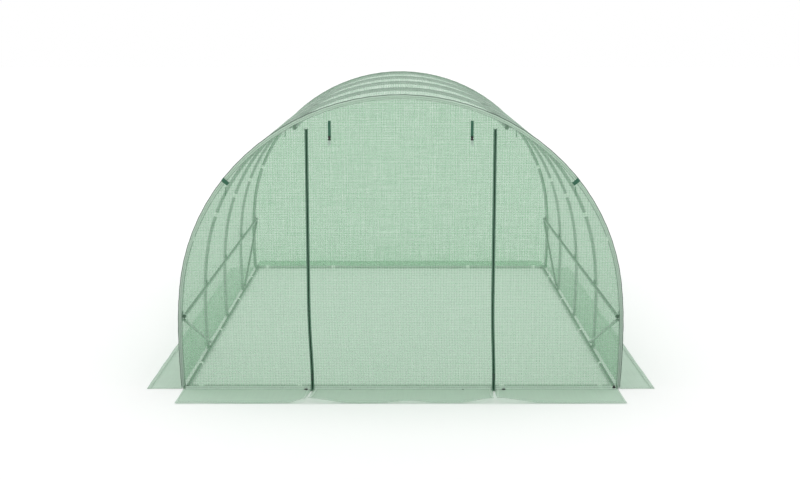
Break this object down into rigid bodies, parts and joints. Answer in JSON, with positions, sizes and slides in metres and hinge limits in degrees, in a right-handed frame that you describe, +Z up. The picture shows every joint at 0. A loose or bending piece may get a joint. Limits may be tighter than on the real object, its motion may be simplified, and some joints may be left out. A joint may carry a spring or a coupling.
{
  "type": "polytunnel greenhouse",
  "caption": "Walk-in garden polytunnel: arched steel tube frame under a woven green cover, with a zipped roll-up door in the front wall and ground skirts on all sides.",
  "frame": {"origin": "on the ground, at the centre of the footprint", "axes": "+Z is up, the zipped front wall faces -Y and +X is to the right of someone facing it"},
  "size_m": [3.4688, 4.63, 2],
  "materials": {
    "woven_cover": "translucent woven polyethylene, semi-matt",
    "steel_tube": "galvanised steel tube, satin grey",
    "white_plastic": "matt moulded",
    "black_plastic": "matt moulded",
    "zinc_steel": "zinc plated",
    "green_webbing": "woven webbing",
    "green_zip": "zip tape with coil teeth"
  },
  "bodies": {
    "root": {"back_skirt": "woven_cover", "back_wall": "woven_cover", "base_rail_back": "steel_tube", "base_rail_front": "steel_tube", "base_rail_left": "steel_tube", "base_rail_right": "steel_tube", "braces": "steel_tube", "cover_arch": "woven_cover", "door_panel": "woven_cover", "door_skirt": "woven_cover", "door_ties": "green_webbing", "end_caps": "black_plastic", "front_header": "woven_cover", "front_panel_left": "woven_cover", "front_panel_right": "woven_cover", "front_skirt_left": "woven_cover", "front_skirt_right": "woven_cover", "hoop_1_crown": "steel_tube", "hoop_1_haunches": "steel_tube", "hoop_1_legs": "steel_tube", "hoop_2_crown": "steel_tube", "hoop_2_haunches": "steel_tube", "hoop_2_legs": "steel_tube", "hoop_3_crown": "steel_tube", "hoop_3_haunches": "steel_tube", "hoop_3_legs": "steel_tube", "hoop_4_crown": "steel_tube", "hoop_4_haunches": "steel_tube", "hoop_4_legs": "steel_tube", "hoop_5_crown": "steel_tube", "hoop_5_haunches": "steel_tube", "hoop_5_legs": "steel_tube", "hoop_sleeves": "white_plastic", "hoop_straps": "green_webbing", "purlin_clips": "zinc_steel", "rail_sleeves": "white_plastic", "shoulder_purlin_left": "steel_tube", "shoulder_purlin_right": "steel_tube", "side_purlin_left": "steel_tube", "side_purlin_right": "steel_tube", "side_skirt_left": "woven_cover", "side_skirt_right": "woven_cover", "tie_buckles": "black_plastic", "zip_left": "green_zip", "zip_right": "green_zip"}
  },
  "joints": []
}
